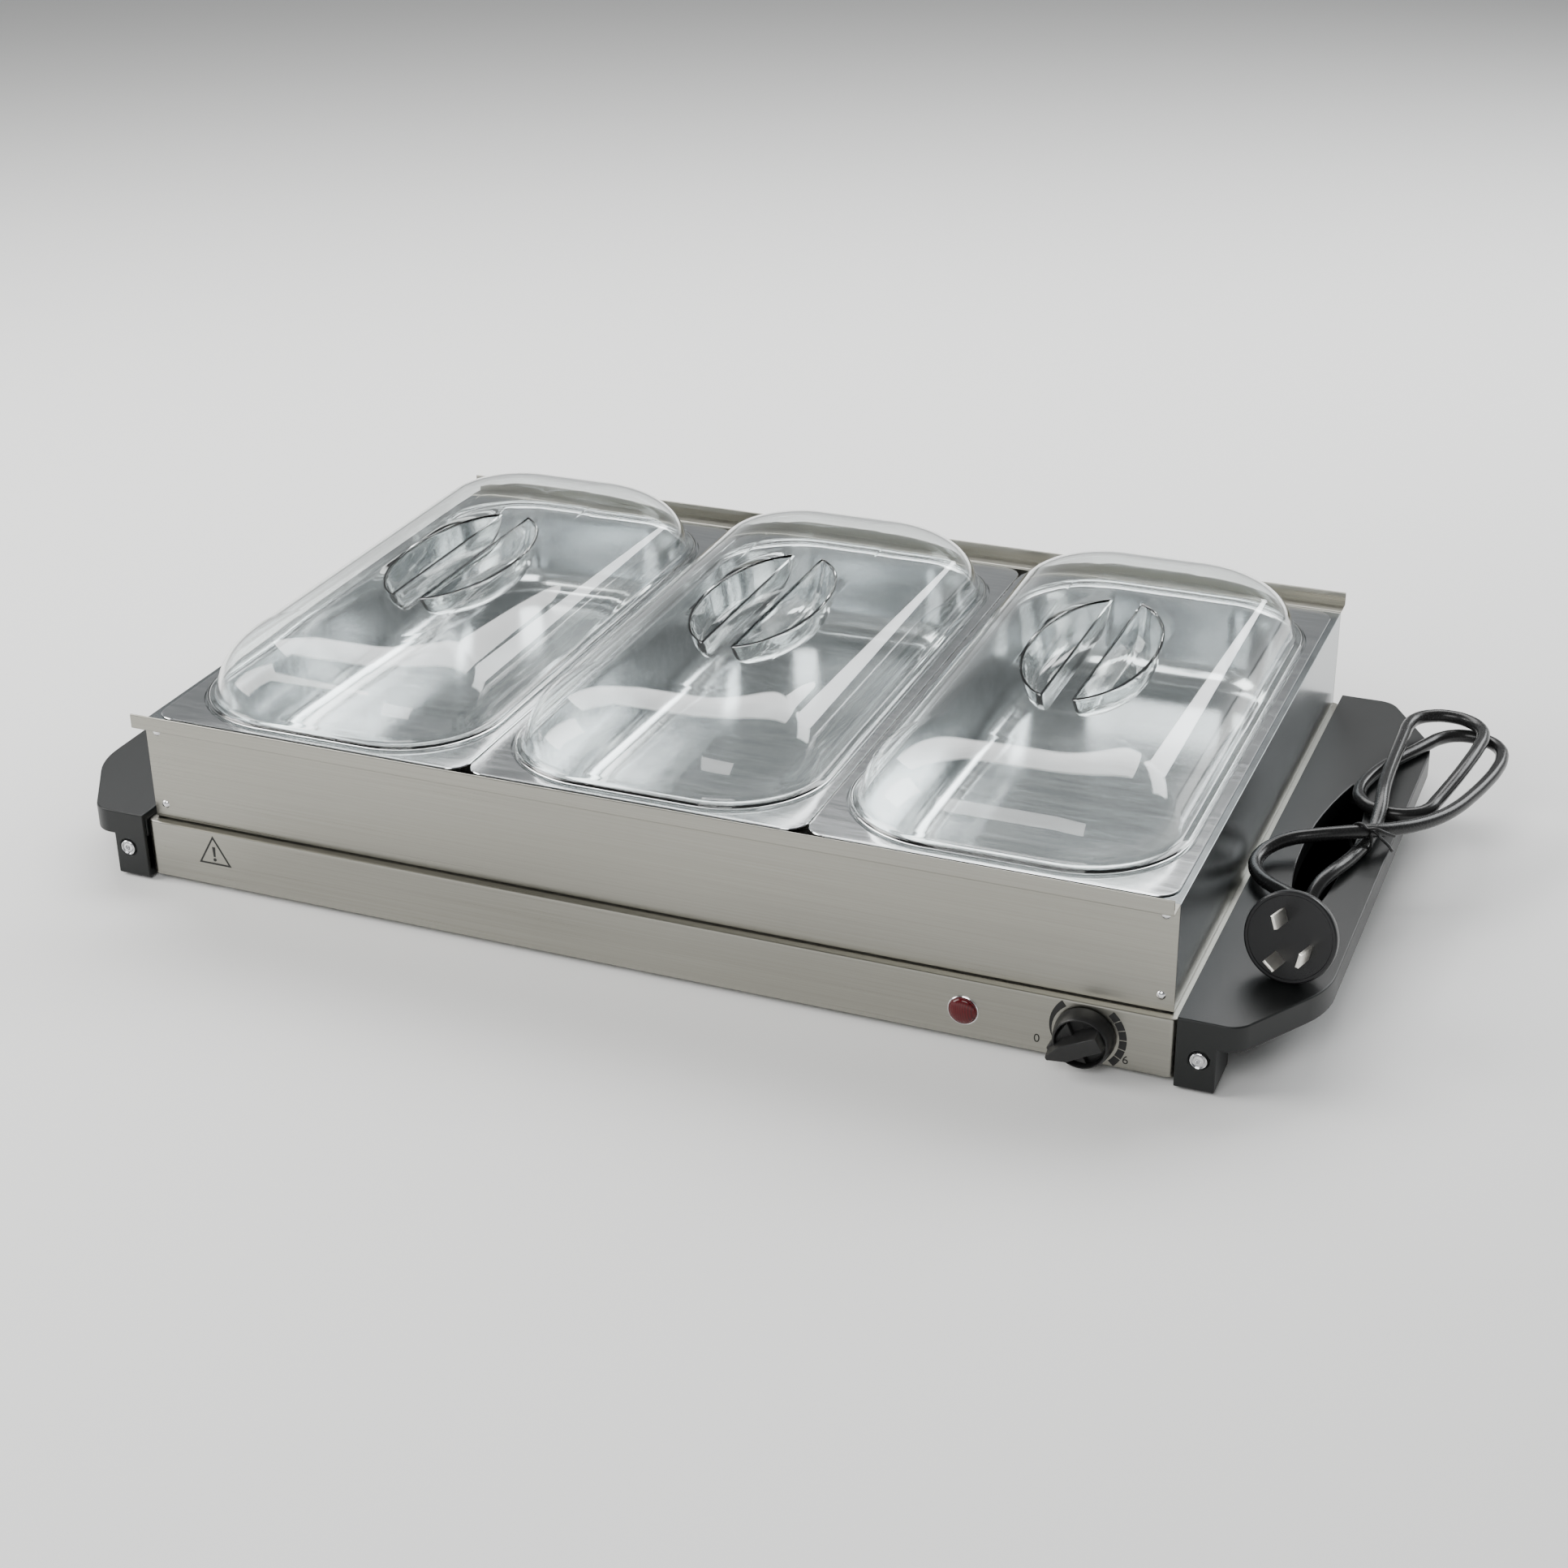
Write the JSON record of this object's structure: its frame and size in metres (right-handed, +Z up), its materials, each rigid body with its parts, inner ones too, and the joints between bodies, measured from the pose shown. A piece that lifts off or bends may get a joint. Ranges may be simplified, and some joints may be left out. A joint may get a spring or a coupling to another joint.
{
  "type": "buffet server",
  "caption": "Long low electric warming tray with black end handles, a lift-off steel frame, side-by-side pans with clear domed lids, front knob and lamp, and a bundled mains cord.",
  "frame": {"origin": "on the table, in the middle of the object's box without the cord and plug", "axes": "+X along the length to the user's right, +Y to the back, +Z up; the controls face -Y"},
  "size_m": [0.679, 0.367, 0.1233],
  "materials": {
    "brushed_steel": "fine brushed grain along the length",
    "side_steel": "smooth rolled steel",
    "polished_steel": "drawn and polished",
    "plate_steel": "satin",
    "clear_plastic": "clear moulded plastic",
    "handle_plastic": "fine moulded texture",
    "knob_plastic": "satin moulded",
    "cord_rubber": "smooth PVC sheath",
    "plug_plastic": "smooth moulded",
    "pad_rubber": "plain",
    "screw_steel": "plated",
    "pin_brass": "nickel plated",
    "lamp_red": "translucent red",
    "white_plastic": "moulded nylon",
    "dark_plastic": "phenolic moulding",
    "black_ink": "screen print",
    "element_steel": "heat-stained sheath",
    "mat_fibre": "ceramic fibre",
    "wire_brown": "insulation",
    "wire_blue": "insulation",
    "wire_green": "insulation",
    "wire_white": "insulation"
  },
  "bodies": {
    "base": {"base_housing": "brushed_steel", "hot_plate": "plate_steel", "bottom_plate": "side_steel", "bottom_screws": "screw_steel", "handle_left": "handle_plastic", "handle_right": "handle_plastic", "handle_screws": "screw_steel", "foot_pads": "pad_rubber", "heating_element": "element_steel", "element_terminals": "white_plastic", "element_clamps": "side_steel", "clamp_nuts": "screw_steel", "insulation_mat": "mat_fibre", "heat_shield": "side_steel", "thermostat_body": "dark_plastic", "thermostat_bracket": "side_steel", "thermostat_nut": "pin_brass", "dial_scale": "black_ink", "caution_mark": "black_ink", "thermal_cutoff": "dark_plastic", "cutoff_clip": "side_steel", "indicator_lens": "lamp_red", "indicator_body": "white_plastic", "indicator_clip": "side_steel", "terminal_block": "white_plastic", "terminal_screws": "pin_brass", "live_wire": "wire_brown", "neutral_wire": "wire_blue", "earth_wire": "wire_green", "lamp_wires": "wire_white", "cord_bushing": "cord_rubber", "cord_clamp": "white_plastic", "earth_screw": "pin_brass", "power_cord": "cord_rubber", "plug_body": "plug_plastic", "plug_pins": "pin_brass", "cord_tie": "cord_rubber"},
    "knob": {"control_knob": "knob_plastic", "thermostat_shaft": "screw_steel", "knob_spring_clip": "screw_steel"},
    "pan_frame": {"frame_front": "brushed_steel", "frame_rear": "brushed_steel", "frame_left": "side_steel", "frame_right": "side_steel", "frame_rivets": "screw_steel", "crossbar_left": "side_steel", "crossbar_right": "side_steel"},
    "pan_left": {"pan_left": "polished_steel"},
    "lid_left": {"lid_left": "clear_plastic"},
    "pan_middle": {"pan_middle": "polished_steel"},
    "lid_middle": {"lid_middle": "clear_plastic"},
    "pan_right": {"pan_right": "polished_steel"},
    "lid_right": {"lid_right": "clear_plastic"}
  },
  "joints": [
    {"name": "knob_turn", "type": "hinge", "parent": "base", "child": "knob", "pos_m": [0.2225, -0.1685, 0.017], "axis": [0, 1, 0], "range_deg": [0, 234]},
    {"name": "frame_lift", "type": "slide", "parent": "base", "child": "pan_frame", "axis": [0, 0, 1], "range_m": [0, 0.12]},
    {"name": "pan_left_lift", "type": "slide", "parent": "pan_frame", "child": "pan_left", "axis": [0, 0, 1], "range_m": [0, 0.09]},
    {"name": "lid_left_lift", "type": "slide", "parent": "pan_left", "child": "lid_left", "axis": [0, 0, 1], "range_m": [0, 0.07]},
    {"name": "pan_middle_lift", "type": "slide", "parent": "pan_frame", "child": "pan_middle", "axis": [0, 0, 1], "range_m": [0, 0.09]},
    {"name": "lid_middle_lift", "type": "slide", "parent": "pan_middle", "child": "lid_middle", "axis": [0, 0, 1], "range_m": [0, 0.07]},
    {"name": "pan_right_lift", "type": "slide", "parent": "pan_frame", "child": "pan_right", "axis": [0, 0, 1], "range_m": [0, 0.09]},
    {"name": "lid_right_lift", "type": "slide", "parent": "pan_right", "child": "lid_right", "axis": [0, 0, 1], "range_m": [0, 0.07]}
  ]
}
